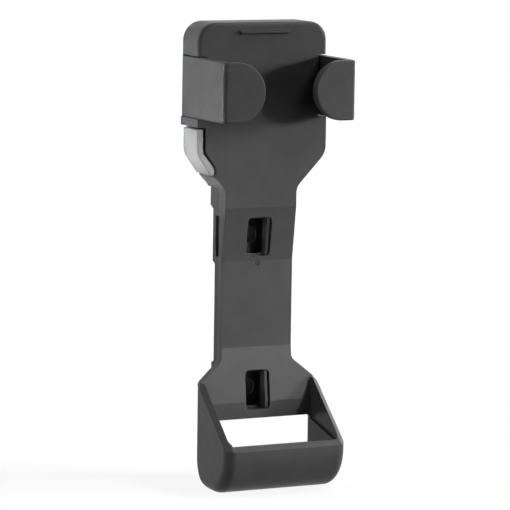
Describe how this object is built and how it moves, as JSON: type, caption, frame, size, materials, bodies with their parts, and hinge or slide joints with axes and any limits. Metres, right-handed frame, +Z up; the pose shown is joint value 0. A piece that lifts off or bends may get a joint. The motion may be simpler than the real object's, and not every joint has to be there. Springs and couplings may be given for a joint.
{
  "type": "folding lock carrier",
  "caption": "Frame-mounted carrier for a folding bicycle lock: back plate with a cup at its foot, pinion-driven clamp arms on its head and a side release button.",
  "frame": {"origin": "midway between the two bolt slots, on the line where the saddles touch the frame tube", "axes": "+X to the right seen from the front, +Y to the back towards the tube, +Z up along the plate"},
  "size_m": [0.0594, 0.0509, 0.1918],
  "materials": {
    "shell": "charcoal moulded nylon, fine satin texture",
    "rear": "charcoal moulded nylon, matt",
    "button": "light grey moulded plastic, satin",
    "steel": "plain zinc-coated steel",
    "black_steel": "black-coated steel",
    "rubber": "black moulded rubber",
    "acetal": "natural acetal"
  },
  "bodies": {
    "carrier": {"front_shell": "shell", "rear_shell": "rear", "head_screws": "steel", "spine_screws": "steel", "upper_saddle": "rubber", "lower_saddle": "rubber", "upper_bolt_sleeve": "black_steel", "lower_bolt_sleeve": "black_steel", "pinion_axle": "steel", "pinion_washer": "steel", "opening_spring": "steel", "lever_pin": "steel", "button_spring": "steel"},
    "left_arm": {"left_arm": "shell"},
    "right_arm": {"right_arm": "shell"},
    "pinion": {"drive_pinion": "acetal"},
    "release": {"release_button": "button", "pawl_lever": "acetal"}
  },
  "joints": [
    {"name": "left_arm_slide", "type": "slide", "parent": "carrier", "child": "left_arm", "axis": [-1, 0, 0], "range_m": [0, 0.017]},
    {"name": "right_arm_slide", "type": "slide", "parent": "carrier", "child": "right_arm", "axis": [1, 0, 0], "range_m": [0, 0.017]},
    {"name": "pinion_turn", "type": "hinge", "parent": "carrier", "child": "pinion", "pos_m": [0, -0.0146, 0.09435], "axis": [0, -1, 0], "range_deg": [0, 163], "deforming": ["opening_spring"]},
    {"name": "button_press", "type": "hinge", "parent": "carrier", "child": "release", "pos_m": [-0.0205, -0.0146, 0.0696], "axis": [0, 1, 0], "range_deg": [0, 4], "stiffness_Nm_per_rad": 0.3, "springref_deg": -5.73, "deforming": ["button_spring"]}
  ],
  "couplings": [
    {"joint": "right_arm_slide", "follows": "left_arm_slide", "ratio": 1},
    {"joint": "pinion_turn", "follows": "left_arm_slide", "rad_per_m": 166.67}
  ]
}
